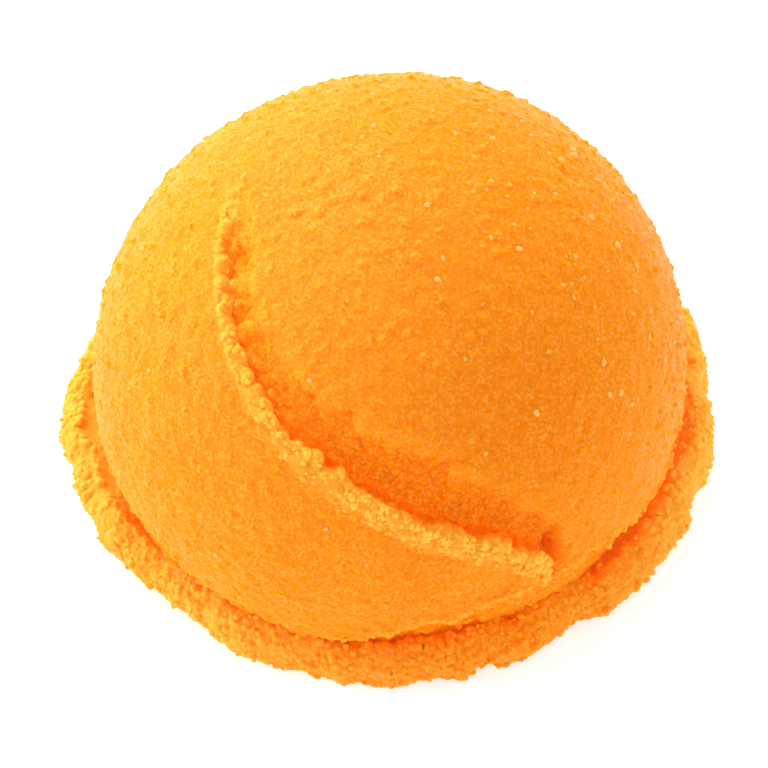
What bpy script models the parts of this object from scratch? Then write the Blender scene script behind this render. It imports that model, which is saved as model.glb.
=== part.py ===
"""One scoop of fruit sorbet, pressed out of a round disher.

The scoop is a ball that rests on a thick, uneven skirt.  The skirt is what the rim of the disher
squeezed out.  A leaf of sorbet is folded over the ball: its lip runs along part of a circle on
the ball, with a hollow behind it, and ends in a pointed tongue that stands clear of the skirt.
Everything is frozen together, so the scoop is one solid.  Its base is cut flat.

Frame: +Z is up, the origin is on the base plane under the middle of the ball, and the fold faces
-Y.  Azimuth is measured from +X towards +Y, latitude from the ball's equator.
"""

import math

import bpy
import numpy as np

# ---- Driving dimensions: metres and degrees ------------------------------------------------

BALL_RADIUS = 0.0300
BALL_HEIGHT = 0.0120           # middle of the ball above the base plane
BULGE_HEIGHT = 0.0009          # the ball is fuller on the side where the disher's blade swept
BULGE_AZIMUTH = 37.5
BULGE_LATITUDE = 27.0
BULGE_SHARPNESS = 3.0

# The lip of the leaf lies on a circle of the ball, seen from an axis through the ball's middle.
LIP_AXIS_AZIMUTH = -16.3
LIP_AXIS_LATITUDE = 58.6
LIP_HALF_ANGLE = 60.9
LIP_WAVE = 0.9                 # degrees: the lip swings to and fro across its circle
LIP_WAVE_LENGTH = 0.72         # share of the way from the fold's start to the tip
LIP_TIP_DROP = 3.2             # degrees: the tongue's tip hangs below the circle
LIP_TIP_DROP_FROM = 0.86       # share of the way
LIP_START = -168.0             # turn round the axis, from straight down, where the fold opens
LIP_END = -52.3                # the same, at the tip of the tongue
LIP_FADE_START = 16.0          # degrees of turn over which the hollow opens
LIP_FADE_END = 5.0             # degrees of turn over which it closes past the tip

HOLLOW_DEPTH_START = 0.0011
HOLLOW_DEPTH_DEEPEST = 0.0042
HOLLOW_DEPTH_END = 0.0026
HOLLOW_DEEPEST_AT = 0.80       # share of the way from the fold's start to the tip
HOLLOW_WIDTH_START = 0.0026
HOLLOW_WIDTH_WIDEST = 0.0052
HOLLOW_WIDTH_END = 0.0016
HOLLOW_WIDEST_AT = 0.74
LIP_THICKNESS_SHARE = 0.52     # of the hollow's depth
LIP_UNDERCUT_SHARE = 0.45      # of the hollow's depth
LIP_RISE = 0.0003              # the lip stands a little proud of the ball

# The ball's lower edge, where it meets the skirt.
EDGE_LATITUDE_LEFT = -5.0
EDGE_LATITUDE_FRONT = -12.5
EDGE_LATITUDE_RIGHT = -9.5
EDGE_ROLL = 7.0                # degrees of latitude over which the edge turns under
TONGUE_AZIMUTH = -60.0
TONGUE_LATITUDE = -1.5
TONGUE_SPREAD = 22.0           # degrees of azimuth over which the tongue's underside rises
GAP_LEFT = 0.0006              # how far the ball steps back under its edge
GAP_RIGHT = 0.0036
GAP_AZIMUTH = -30.0            # the gap is deepest here
GAP_SPREAD = 62.0

# The skirt.
SKIRT_RADIUS = 0.0331
# Lobes of its outline: how many, how high, and the azimuth of one crest.  The first three say
# where the sorbet spread furthest, and the others ruffle the rim.
SKIRT_LOBES = (
    (1, 0.00163, 75.5),
    (2, 0.00129, 7.2),
    (3, 0.00077, 36.5),
    (11, 0.00022, 12.0),
    (17, 0.00020, 9.0),
    (29, 0.00016, 4.0),
)
SKIRT_CREST_FRONT = 0.0050     # height of the rim's crest above the base plane
SKIRT_CREST_SIDE = 0.0070
SKIRT_CREST_WIDTH = 0.0017     # the crest lies this far inside the rim
SKIRT_BELLY_HEIGHT = 0.0024
SKIRT_FOOT_INSET = 0.0010
SKIRT_TRENCH_LEFT = 0.0008     # depth of the valley between crest and ball
SKIRT_TRENCH_RIGHT = 0.0030
SKIRT_BELOW = 0.0010           # cut away again by the flat base

# How finely the solids are faceted.
TURN_STEPS = 92
SKIRT_STEPS = 96
CAP_STEPS_TOP = 9
CAP_STEPS_BOTTOM = 13
LIP_STEPS_PER_SPAN = 2
BASE_BLOCK_SIZE = 0.10

SORBET_COLOUR = (0.95, 0.36, 0.02, 1.0)
SORBET_ROUGHNESS = 0.45


def clear_scene():
    for item in list(bpy.data.objects):
        bpy.data.objects.remove(item, do_unlink=True)


def smooth_step(value):
    """0 below 0, 1 above 1, and a soft S between."""
    value = np.clip(value, 0.0, 1.0)
    return value * value * (3.0 - 2.0 * value)


def hump(share, peak, start, top, end):
    """A height that rises from start to top at the peak, then falls to end."""
    rising = start + (top - start) * smooth_step(share / peak)
    falling = end + (top - end) * smooth_step((1.0 - share) / (1.0 - peak))
    return np.where(share < peak, rising, falling)


def angle_between(azimuth, other):
    """Difference of two azimuths in degrees, from -180 to 180."""
    return (azimuth - other + 180.0) % 360.0 - 180.0


def direction(azimuth, latitude):
    turn = math.radians(azimuth)
    rise = math.radians(latitude)
    return np.array((math.cos(rise) * math.cos(turn), math.cos(rise) * math.sin(turn), math.sin(rise)))


def lip_frame():
    """The lip's axis, and the two directions across it that turns are measured from."""
    axis = direction(LIP_AXIS_AZIMUTH, LIP_AXIS_LATITUDE)
    down = axis * axis[2] - np.array((0.0, 0.0, 1.0))
    down = down / np.linalg.norm(down)
    return axis, down, np.cross(axis, down)


def edge_latitude(azimuth):
    """Latitude of the ball's lower edge.  It rises under the tongue."""
    left = smooth_step(1.0 - np.abs(angle_between(azimuth, 175.0)) / 65.0)
    right = smooth_step(1.0 - np.abs(angle_between(azimuth, 0.0)) / 62.0)
    latitude = EDGE_LATITUDE_FRONT + (EDGE_LATITUDE_LEFT - EDGE_LATITUDE_FRONT) * left
    latitude = latitude + (EDGE_LATITUDE_RIGHT - EDGE_LATITUDE_FRONT) * right
    from_tip = TONGUE_AZIMUTH - azimuth
    tongue = smooth_step(1.0 - from_tip / TONGUE_SPREAD) * smooth_step(1.0 + from_tip / 5.0)
    return latitude + (TONGUE_LATITUDE - EDGE_LATITUDE_FRONT) * tongue


def gap_share(azimuth):
    """1 where the gap between ball and skirt is widest, 0 where the two touch."""
    return smooth_step(1.3 - np.abs(angle_between(azimuth, GAP_AZIMUTH)) / GAP_SPREAD)


def ball_offset(points):
    """Height of the ball's skin over a true sphere, for unit directions."""
    bulge_way = direction(BULGE_AZIMUTH, BULGE_LATITUDE)
    bulge = np.clip(points @ bulge_way, 0.0, 1.0) ** BULGE_SHARPNESS
    azimuth = np.degrees(np.arctan2(points[:, 1], points[:, 0]))
    latitude = np.degrees(np.arcsin(np.clip(points[:, 2], -1.0, 1.0)))
    gap = GAP_LEFT + (GAP_RIGHT - GAP_LEFT) * gap_share(azimuth)
    under = smooth_step((edge_latitude(azimuth) - latitude) / EDGE_ROLL)
    return BULGE_HEIGHT * bulge - gap * under


def smooth_line(knots, steps):
    """Points on a smooth line through the knots (Catmull-Rom), with steps points in each span."""
    padded = [2.0 * knots[0] - knots[1]] + list(knots) + [2.0 * knots[-1] - knots[-2]]
    line = []
    for before, start, end, after in zip(padded, padded[1:], padded[2:], padded[3:]):
        for step in range(steps):
            t = step / steps
            line.append(0.5 * (2.0 * start + (end - before) * t
                               + (2.0 * before - 5.0 * start + 4.0 * end - after) * t ** 2
                               + (3.0 * (start - end) + after - before) * t ** 3))
    line.append(knots[-1])
    return np.array(line)


def fold_profile(turn):
    """Section across the fold at one turn: distance from the lip (towards the axis), height.

    It runs from the open ball, down into the hollow, under the lip and over it onto the leaf.
    Where there is no fold, the same points lie spread out along the ball.
    """
    share = float(np.clip((turn - LIP_START) / (LIP_END - LIP_START), 0.0, 1.0))
    opened = smooth_step((turn - LIP_START + LIP_FADE_START) / LIP_FADE_START)
    closed = smooth_step((LIP_END + LIP_FADE_END - turn) / LIP_FADE_END)
    strength = float(opened * closed)
    depth = strength * float(hump(share, HOLLOW_DEEPEST_AT, HOLLOW_DEPTH_START,
                                  HOLLOW_DEPTH_DEEPEST, HOLLOW_DEPTH_END))
    width = float(hump(share, HOLLOW_WIDEST_AT, HOLLOW_WIDTH_START,
                       HOLLOW_WIDTH_WIDEST, HOLLOW_WIDTH_END))
    thick = depth * LIP_THICKNESS_SHARE
    under = depth * LIP_UNDERCUT_SHARE
    rise = strength * LIP_RISE
    folded = np.array((
        (1.5 * width, 0.0),
        (1.0 * width, -0.16 * depth),
        (0.6 * width, -0.62 * depth),
        (0.15 * width, -0.95 * depth),
        (-0.7 * under, -1.02 * depth),
        (-under, -0.5 * (depth + thick)),
        (-0.7 * under, -1.02 * thick),
        (-0.1 * under, -0.9 * thick),
        (0.1 * under, -0.4 * thick),
        (-0.1 * under, 0.7 * rise),
        (-0.4 * depth, rise),
        (-1.2 * HOLLOW_WIDTH_WIDEST, 0.0),
    ))
    start = folded[0, 0]
    end = folded[-1, 0]
    plain = np.column_stack((np.linspace(start, end, len(folded)), np.zeros(len(folded))))
    knots = plain * (1.0 - strength) + folded * strength
    knots[:, 1] = folded[:, 1]
    return smooth_line(list(knots), LIP_STEPS_PER_SPAN)


def lip_angle(turn):
    """Angle in degrees between the axis and the lip at one turn."""
    share = float(np.clip((turn - LIP_START) / (LIP_END - LIP_START), 0.0, 1.2))
    wave = LIP_WAVE * math.cos(2.0 * math.pi * share / LIP_WAVE_LENGTH)
    past = (share - LIP_TIP_DROP_FROM) / (1.0 - LIP_TIP_DROP_FROM)
    return LIP_HALF_ANGLE - wave + LIP_TIP_DROP * float(smooth_step(past))


def meridian(turn):
    """Angle from the axis and height, from the axis over the fold to the far pole."""
    fold = fold_profile(turn)
    angles = math.radians(lip_angle(turn)) - fold[:, 0] / BALL_RADIUS
    top = np.linspace(0.0, angles[0], CAP_STEPS_TOP + 1)[1:-1]
    bottom = np.linspace(angles[-1], math.pi, CAP_STEPS_BOTTOM + 1)[1:-1]
    all_angles = np.concatenate((top, angles, bottom))
    heights = np.concatenate((np.zeros(len(top)), fold[:, 1], np.zeros(len(bottom))))
    return all_angles, heights


def lathe_faces(rings, steps):
    """Faces of a closed skin of rings of steps points, then a first and a last pole point."""
    faces = []
    first = rings * steps
    last = first + 1
    for step in range(steps):
        after = (step + 1) % steps
        faces.append((first, step, after))
        for ring in range(rings - 1):
            low = ring * steps
            high = low + steps
            faces.append((low + step, high + step, high + after, low + after))
        faces.append((last, (rings - 1) * steps + after, (rings - 1) * steps + step))
    return faces


def make_object(name, points, faces):
    mesh = bpy.data.meshes.new(name)
    mesh.from_pydata([tuple(point) for point in points], [], faces)
    mesh.validate()
    item = bpy.data.objects.new(name, mesh)
    bpy.context.collection.objects.link(item)
    return item


def make_ball(name):
    """The ball with its folded leaf, turned about the lip's axis."""
    axis, down, side = lip_frame()
    sections = []
    for step in range(TURN_STEPS):
        turn = -180.0 + 360.0 * step / TURN_STEPS
        angles, heights = meridian(turn)
        out = down * math.cos(math.radians(turn)) + side * math.sin(math.radians(turn))
        ways = np.outer(np.cos(angles), axis) + np.outer(np.sin(angles), out)
        sections.append((ways, heights))
    ways = np.array([section[0] for section in sections]).transpose(1, 0, 2)
    heights = np.array([section[1] for section in sections]).T
    rings = ways.shape[0]
    ways = np.concatenate((ways.reshape(-1, 3), (axis, -axis)))
    heights = np.concatenate((heights.reshape(-1), (0.0, 0.0)))
    reach = BALL_RADIUS + heights + ball_offset(ways)
    points = ways * reach[:, None] + np.array((0.0, 0.0, BALL_HEIGHT))
    return make_object(name, points, lathe_faces(rings, TURN_STEPS))


def skirt_radius(azimuth):
    """Reach of the rim at an azimuth in radians: a circle with lobes of several sizes."""
    reach = SKIRT_RADIUS
    for count, height, crest in SKIRT_LOBES:
        reach += height * math.cos(count * (azimuth - math.radians(crest)))
    return reach


def skirt_section(azimuth):
    """Radius and height, from the middle of the top over the crest to the middle below."""
    rim = skirt_radius(azimuth)
    degrees = math.degrees(azimuth)
    sideways = abs(math.cos(azimuth))
    crest = SKIRT_CREST_FRONT + (SKIRT_CREST_SIDE - SKIRT_CREST_FRONT) * sideways ** 2
    gap = float(gap_share(degrees))
    valley = crest - SKIRT_TRENCH_LEFT - (SKIRT_TRENCH_RIGHT - SKIRT_TRENCH_LEFT) * gap
    crest_radius = rim - SKIRT_CREST_WIDTH
    return (
        (0.45 * crest_radius, valley),
        (0.80 * crest_radius, valley),
        (0.93 * crest_radius, valley + 0.15 * (crest - valley)),
        (crest_radius - 0.0006, crest - 0.15 * (crest - valley)),
        (crest_radius, crest),
        (rim - 0.35 * SKIRT_CREST_WIDTH, crest - 0.0007),
        (rim, SKIRT_BELLY_HEIGHT + 0.35 * (crest - SKIRT_BELLY_HEIGHT)),
        (rim, SKIRT_BELLY_HEIGHT * 0.7),
        (rim - SKIRT_FOOT_INSET, 0.0),
        (rim - 2.0 * SKIRT_FOOT_INSET, -SKIRT_BELOW),
    )


def make_skirt(name):
    sections = []
    for step in range(SKIRT_STEPS):
        azimuth = 2.0 * math.pi * step / SKIRT_STEPS
        section = [(reach * math.cos(azimuth), reach * math.sin(azimuth), height)
                   for reach, height in skirt_section(azimuth)]
        sections.append(section)
    rings = np.array(sections).transpose(1, 0, 2)
    poles = ((0.0, 0.0, SKIRT_CREST_FRONT - SKIRT_TRENCH_LEFT), (0.0, 0.0, -SKIRT_BELOW))
    points = np.concatenate((rings.reshape(-1, 3), poles))
    return make_object(name, points, lathe_faces(rings.shape[0], SKIRT_STEPS))


def make_base_block(name):
    """A block whose top is the base plane."""
    half = BASE_BLOCK_SIZE / 2.0
    points = [(x, y, z) for x in (-half, half) for y in (-half, half) for z in (-half, 0.0)]
    faces = [(0, 1, 3, 2), (4, 6, 7, 5), (0, 4, 5, 1), (2, 3, 7, 6), (0, 2, 6, 4), (1, 5, 7, 3)]
    return make_object(name, points, faces)


def as_helper(item):
    item.hide_render = True
    item.display_type = "WIRE"


def combine(item, other, operation):
    modifier = item.modifiers.new(operation.title(), "BOOLEAN")
    modifier.operation = operation
    modifier.solver = "EXACT"
    modifier.object = other
    as_helper(other)


def sorbet_material():
    material = bpy.data.materials.new("orange_fruit_sorbet")
    material.use_nodes = True
    shader = material.node_tree.nodes["Principled BSDF"]
    shader.inputs["Base Color"].default_value = SORBET_COLOUR
    shader.inputs["Roughness"].default_value = SORBET_ROUGHNESS
    shader.inputs["Metallic"].default_value = 0.0
    return material


def main():
    clear_scene()
    scoop = make_ball("sorbet_scoop")
    scoop.data.materials.append(sorbet_material())
    scoop.data.shade_smooth()
    combine(scoop, make_skirt("skirt_helper"), "UNION")
    combine(scoop, make_base_block("base_helper"), "DIFFERENCE")


main()
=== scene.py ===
"""Looks of one scoop of orange fruit sorbet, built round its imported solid.

The scoop is made the way it freezes: a ball with a folded leaf, and the skirt that the disher
squeezed out, each covered with ice grains where it broke, fused and given its frozen relief.
Loose grains and ice crystals lie on top.  Metres, +Z up, the fold faces -Y.
"""

import math

import bpy
import numpy as np
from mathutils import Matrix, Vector


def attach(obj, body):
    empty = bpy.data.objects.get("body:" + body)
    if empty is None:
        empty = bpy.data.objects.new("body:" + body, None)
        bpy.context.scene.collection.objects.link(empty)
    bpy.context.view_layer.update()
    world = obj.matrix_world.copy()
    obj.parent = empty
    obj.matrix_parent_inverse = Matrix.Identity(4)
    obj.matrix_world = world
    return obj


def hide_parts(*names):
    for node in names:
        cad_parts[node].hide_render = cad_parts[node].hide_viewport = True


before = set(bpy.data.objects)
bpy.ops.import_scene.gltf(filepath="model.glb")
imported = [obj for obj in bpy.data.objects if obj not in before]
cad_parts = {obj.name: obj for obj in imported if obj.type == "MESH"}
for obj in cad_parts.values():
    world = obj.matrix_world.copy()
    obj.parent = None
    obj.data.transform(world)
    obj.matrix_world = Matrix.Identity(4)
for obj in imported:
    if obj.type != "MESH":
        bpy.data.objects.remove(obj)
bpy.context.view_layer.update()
NODE = "sorbet_scoop"
BODY = "root"

bl_info = {
    "name": "Sorbet scoop",
    "version": (1, 0, 0),
    "blender": (4, 5, 0),
    "location": "3D View > Sidebar > Sorbet",
    "description": "Builds a folded scoop of fruit sorbet with its grains, crystals and stage",
    "category": "Object",
}

# ---- The scoop's form, in metres and degrees -------------------------------------------------
# Named as in its solid, but with a closer rim and a wider, shallower hollow.

BALL_HEIGHT = 0.0120           # middle of the ball above the base plane
BULGE_HEIGHT = 0.0009
BULGE_AZIMUTH = 37.5
BULGE_LATITUDE = 27.0
BULGE_SHARPNESS = 3.0

LIP_AXIS_AZIMUTH = -16.3
LIP_AXIS_LATITUDE = 58.6
LIP_HALF_ANGLE = 60.9
LIP_LINE = (                   # turn about the lip's axis, and the lip's angle from that axis
    (-180.0, 60.2),
    (-165.0, 60.0),
    (-150.0, 61.4),
    (-136.0, 62.8),
    (-116.0, 62.9),
    (-104.0, 61.4),
    (-84.0, 60.4),
    (-66.0, 59.6),
    (-58.0, 60.5),
    (-51.0, 62.7),
    (-47.0, 67.0),
    (-30.0, 66.0),
    (60.0, 62.0),
    (150.0, 60.4),
)
LIP_START = -165.0
LIP_END = -48.5
LIP_FADE_START = 8.0
LIP_FADE_END = 4.0
LIP_RAGGED_HEIGHT = 0.00045    # the broken lip wanders this far to and fro
LIP_RAGGED_LENGTH = 0.0026
LIP_BAND_START = 0.0005        # width of the grained margin where the fold starts
LIP_BAND_GAIN = 0.0012         # and how much wider it is from 0.6 of the fold's run on
LIP_BAND_INSIDE = 0.0012       # the grains also reach this far over the hollow
LIP_GRAIN_LOWEST = -0.0009     # and this far down the lip's face
LIP_GROWTH_START = 0.06        # share of its grains that the lip has where the fold starts
LIP_GROWTH_WHOLE_AT = 0.72     # share of the fold's run from which it has them all

HOLLOW_DEPTH_START = 0.0009
HOLLOW_DEPTH_DEEPEST = 0.0019
HOLLOW_DEPTH_END = 0.0017
HOLLOW_DEEPEST_AT = 0.78
HOLLOW_GRAINS = 0.35           # share of its torn far side that grains cover
HOLLOW_GRAINS_REACH = 1.3      # of its width
HOLLOW_SUNK = 0.0012           # skin sunk this far belongs wholly to the hollow
HOLLOW_WIDTH_START = 0.0028
HOLLOW_WIDTH_WIDEST = 0.0068
HOLLOW_WIDTH_END = 0.0036
HOLLOW_WIDEST_AT = 0.72
HOLLOW_PIT_LENGTH = 0.0030     # the hollow opens in pits, where the leaf still clings to the ball
HOLLOW_PIT_SHARE = 0.75
LIP_THICKNESS_SHARE = 0.52     # of the hollow's depth
LIP_UNDERCUT_SHARE = 0.04      # of the hollow's depth
LIP_RISE = 0.0001
CRACK_REACH = 0.0018           # the dark foot of the hollow along the lip, where a painted glow lightens the shade
CRACK_SUNK = 0.0005
KNOB_SHARE = 0.8               # share of the open skin that rounded knobs cover
KNOB_FREE_MARGIN = 0.0014      # none grow so near the lip
KNOB_LOWEST = -0.0002

EDGE_LINE = (                  # azimuth, and the latitude of the ball's lower edge
    (-180.0, -2.0),
    (-160.0, -5.0),
    (-138.0, -2.5),
    (-122.0, -7.5),
    (-107.0, -10.0),
    (-95.0, -8.5),
    (-84.0, -3.0),
    (-72.0, -1.0),
    (-62.0, 1.0),
    (-50.0, 1.0),
    (-40.0, -1.5),
    (-30.0, -2.5),
    (-10.0, -2.0),
    (30.0, -4.0),
    (90.0, -6.0),
    (150.0, -4.0),
)
EDGE_ROLL = 5.0                # degrees over which the ball rolls in under its edge
EDGE_RAGGED = 0.8              # degrees the edge wanders up and down
GAP_LINE = (                   # azimuth, and how far the ball draws in under its edge
    (-180.0, 0.0007),
    (-110.0, 0.0007),
    (-97.0, 0.0010),
    (-86.0, 0.0017),
    (-72.0, 0.0017),
    (-62.0, 0.0011),
    (-54.0, 0.0011),
    (-46.0, 0.0013),
    (-20.0, 0.0013),
    (10.0, 0.0012),
    (60.0, 0.0010),
    (120.0, 0.0009),
)
GAP_MOST = 0.0022
CHANNEL_TOP = (-58.5, 7.0)     # azimuth and latitude of the cleft beside the tongue's tip
CHANNEL_FOOT = (-56.5, -3.0)
CHANNEL_WIDTH = 0.0011
CHANNEL_DEPTH = 0.0012

SKIRT_LINE = (                 # azimuth, and how far the rim reaches beyond its mean radius
    (-190.0, 0.0019),
    (-180.0, 0.0017),
    (-170.0, 0.0003),
    (-160.0, -0.0002),
    (-150.0, -0.0008),
    (-141.0, -0.0020),
    (-130.0, -0.0026),
    (-118.0, -0.0018),
    (-106.0, -0.0022),
    (-93.0, -0.0018),
    (-81.0, -0.0026),
    (-76.0, -0.0018),
    (-71.0, -0.0027),
    (-65.0, -0.0020),
    (-58.0, -0.0026),
    (-51.0, -0.0029),
    (-45.0, -0.0009),
    (-36.0, -0.0010),
    (-25.0, 0.0000),
    (-17.0, -0.0001),
    (-10.0, 0.0009),
    (-1.0, 0.0014),
    (4.0, 0.0005),
    (10.0, 0.0018),
    (20.0, 0.0022),
    (45.0, 0.0012),
    (75.0, 0.0006),
    (100.0, 0.0010),
    (130.0, 0.0004),
    (155.0, 0.0012),
)
SKIRT_CREST_LINE = (           # azimuth and height of the crest
    (-180.0, 0.0043),
    (-160.0, 0.0047),
    (-140.0, 0.0050),
    (-90.0, 0.0048),
    (-45.0, 0.0054),
    (-15.0, 0.0067),
    (15.0, 0.0083),
    (60.0, 0.0070),
    (120.0, 0.0058),
    (150.0, 0.0048),
)
SKIRT_FROST_AND_LIGHT_LINE = (           # azimuth and share of pale ice and painted light on the rim, least at the front, where it is made to look less brightly lit
    (-180.0, 1.50),
    (-160.0, 1.20),
    (-150.0, 0.95),
    (-125.0, 1.30),
    (-100.0, 0.50),
    (-60.0, 0.12),
    (-40.0, 0.60),
    (-10.0, 1.80),
    (60.0, 1.20),
    (150.0, 1.30),
)
SKIRT_CREST_WIDTH = 0.0017
SKIRT_BELLY_HEIGHT = 0.0024
SKIRT_FOOT_INSET = 0.0010
SKIRT_TRENCH_LEFT = 0.0008     # depth of the trench under the crest where skirt and ball touch
SKIRT_TRENCH_RIGHT = 0.0026    # and where the gap between them is widest
SKIRT_TRENCH_SLOPE = 0.0015    # width of the trench's outer side
SKIRT_RAGGED_REACH = 0.00030   # the rim wanders this far in and out
SKIRT_RAGGED_CREST = 0.00035   # and its crest up and down
SKIRT_BRIDGES = (              # azimuth, width in degrees and height of strands up to the ball
    (-58.5, 4.5, 0.0036),
    (-68.5, 2.2, 0.0030),
    (-24.0, 3.0, 0.0010),
)
BALL_CUT_HEIGHT = 0.0016       # the ball's hidden floor, inside the skirt

AIM_LEFT = 0.00041             # the camera aims this far to the left of the ball's middle
AIM_BELOW = 0.00137            # and this far below it

# How finely the skins are drawn before they are fused, and how finely they are fused.
TURN_STEPS = 480
LIP_STEPS_PER_SPAN = 8
CAP_STEPS_TOP = 64
CAP_STEPS_BOTTOM = 96
SKIRT_STEPS = 640
SKIRT_SPAN_STEPS = 6
BALL_VOXEL = 0.00022
SKIRT_VOXEL = 0.00016
MOST_TRIANGLES = 196000        # of one piece

PAINTED_SHADE_SPOT = (-56.0, 35.0)       # azimuth and latitude of a patch of painted shade: the front right, away from the key lamp, is a deeper orange
PAINTED_SHADE_SPREAD = 26.0
PAINTED_SHADE_MOST = 0.60
PAINTED_LIGHT_SPOT = (-122.0, 62.0)    # and a spot of painted light: the upper left, towards the key lamp, is paler
PAINTED_LIGHT_SPREAD = 36.0
PAINTED_LIGHT_MOST = 0.44
CRYSTAL_SPOT = (25.0, 42.0)    # and where most clear crystals lie
BODY_DEPTH = 0.0014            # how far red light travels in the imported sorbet
GRAIN_DEPTH = 0.0              # a loose grain is too small for that
LOOSE_DEPTH_SHARE = 0.25       # of that depth, for the skin under loose grains
GRAIN_PAINTED_GLOW = 0.22              # painted glow: how much a loose grain shines, as if lit by the sorbet beneath
CREVICE_PAINTED_GLOW = 0.15            # painted glow that lightens the shade in a crevice, as if light came through the scoop
FULL_TURN = 6.28
GRAIN_PATTERN = 0.00030        # size of the ice grains drawn in colour and bump
FINE_PATTERN = 0.00018
PATCH_PATTERN = 0.006          # size of the deeper and lighter patches of pulp
ICE_IOR = 1.31


def linear(hex_colour):
    """An sRGB hex colour as linear red, green and blue."""
    parts = [int(hex_colour[start:start + 2], 16) / 255.0 for start in (1, 3, 5)]
    return tuple(c / 12.92 if c <= 0.04045 else ((c + 0.055) / 1.055) ** 2.4 for c in parts)


# ---- What a user would change ----------------------------------------------------------------

class ScoopSizes(bpy.types.PropertyGroup):
    ball_radius: bpy.props.FloatProperty(
        name="Ball radius", description="Radius of the disher's bowl", default=0.030,
        unit="LENGTH", precision=4)
    skirt_radius: bpy.props.FloatProperty(
        name="Skirt radius", description="Mean reach of the squeezed-out rim", default=0.0327,
        unit="LENGTH", precision=4)
    grain: bpy.props.FloatProperty(
        name="Grain size", description="Mean diameter of the ice grains on a broken edge",
        default=0.00068, unit="LENGTH", precision=5)
    crystal: bpy.props.FloatProperty(
        name="Crystal size", description="Mean diameter of the clear ice crystals",
        default=0.00062, unit="LENGTH", precision=5)


class SorbetColours(bpy.types.PropertyGroup):
    flesh: bpy.props.FloatVectorProperty(
        name="Flesh", description="Colour of the frozen fruit", subtype="COLOR",
        default=linear("#fd9008"))
    # This darker orange is mostly painted shade: the hollow, the underside of the ball's edge, the trench
    # and a patch on the front right turn to it; random patches of pulp and the pulp between grains use it
    # too.
    deep_and_shade: bpy.props.FloatVectorProperty(
        name="Deep flesh", description="Colour of wet fruit in the hollows", subtype="COLOR",
        default=linear("#fd7c02"))
    # This pale colour is ice on broken edges, and it also paints light: the lit upper left, the skirt's
    # brighter parts and glints on the grains.
    frost_and_light: bpy.props.FloatVectorProperty(
        name="Frost", description="Colour of ice grains on broken edges", subtype="COLOR",
        default=linear("#feb741"))
    # The crystal colour's orange tint is painted light: it stands for the pulp's light shining through
    # clear ice.
    crystal: bpy.props.FloatVectorProperty(
        name="Crystal", description="Colour of the clear ice crystals", subtype="COLOR",
        default=linear("#ffb964"))


class StageSettings(bpy.types.PropertyGroup):
    camera_elevation: bpy.props.FloatProperty(
        name="Camera elevation", description="How steeply the camera looks down",
        default=math.radians(50.0), subtype="ANGLE")
    camera_distance: bpy.props.FloatProperty(
        name="Camera distance", description="From the middle of the ball", default=0.2197,
        unit="LENGTH")
    key_power: bpy.props.FloatProperty(
        name="Key power", description="Power of the large soft lamp on the left, in watts",
        default=0.85)
    top_power: bpy.props.FloatProperty(
        name="Top power", description="Power of the soft lamp above and behind, in watts",
        default=1.62)
    side_power: bpy.props.FloatProperty(
        name="Side power", description="Power of the soft lamp on the right, in watts",
        default=0.12)
    room_strength: bpy.props.FloatProperty(
        name="Room strength", description="Brightness of the white room", default=0.90)


# ---- Small helpers ---------------------------------------------------------------------------

def smooth_step(value):
    """0 below 0, 1 above 1, and a soft S between."""
    value = np.clip(value, 0.0, 1.0)
    return value * value * (3.0 - 2.0 * value)


def hump(share, peak, start, top, end):
    """A height that rises from start to top at the peak, then falls to end."""
    rising = start + (top - start) * smooth_step(share / peak)
    falling = end + (top - end) * smooth_step((1.0 - share) / (1.0 - peak))
    return np.where(share < peak, rising, falling)


def angle_between(azimuth, other):
    """Difference of two azimuths in degrees, from -180 to 180."""
    return (azimuth - other + 180.0) % 360.0 - 180.0


def direction(azimuth, latitude):
    """Unit vector of an azimuth and a latitude in degrees."""
    turn = math.radians(azimuth)
    rise = math.radians(latitude)
    return np.array((math.cos(rise) * math.cos(turn), math.cos(rise) * math.sin(turn), math.sin(rise)))


def wander(distance, length, seed):
    """A soft random wave from -1 to 1 along a distance, with bends about length apart."""
    generator = np.random.default_rng(seed)
    knots = generator.uniform(-1.0, 1.0, 512)
    place = np.asarray(distance, float) / length + 256.0
    low = np.floor(place).astype(int)
    return knots[low] + (knots[low + 1] - knots[low]) * smooth_step(place - low)


def add_node(tree, kind, settings=None, inputs=None):
    """Adds a node, sets its settings, and fills or links its inputs."""
    node = tree.nodes.new(kind)
    for name, value in (settings or {}).items():
        setattr(node, name, value)
    for name, value in (inputs or {}).items():
        socket = node.inputs[name]
        if isinstance(value, bpy.types.NodeSocket):
            tree.links.new(value, socket)
        else:
            socket.default_value = value
    return node


def math_node(tree, operation, *values, clamp=False):
    """Adds a Math node over sockets or numbers, and gives its result."""
    settings = {"operation": operation, "use_clamp": clamp}
    return add_node(tree, "ShaderNodeMath", settings, dict(enumerate(values))).outputs[0]


def scale_vector(tree, vector, scale):
    """Adds a node that makes a vector longer or shorter, and gives its result."""
    return add_node(tree, "ShaderNodeVectorMath", {"operation": "SCALE"},
                    {0: vector, "Scale": scale}).outputs[0]


def noise_node(tree, place, scale, detail, roughness=0.5):
    """Adds a soft 3-D noise."""
    return add_node(tree, "ShaderNodeTexNoise", {"noise_dimensions": "3D"}, {
        "Vector": place, "Scale": scale, "Detail": detail, "Roughness": roughness})


def map_range(tree, value, low, high, to_low, to_high):
    """Adds a node that maps low to high onto another range, and gives its result."""
    return add_node(tree, "ShaderNodeMapRange", None, {
        "Value": value, "From Min": low, "From Max": high,
        "To Min": to_low, "To Max": to_high}).outputs[0]


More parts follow.
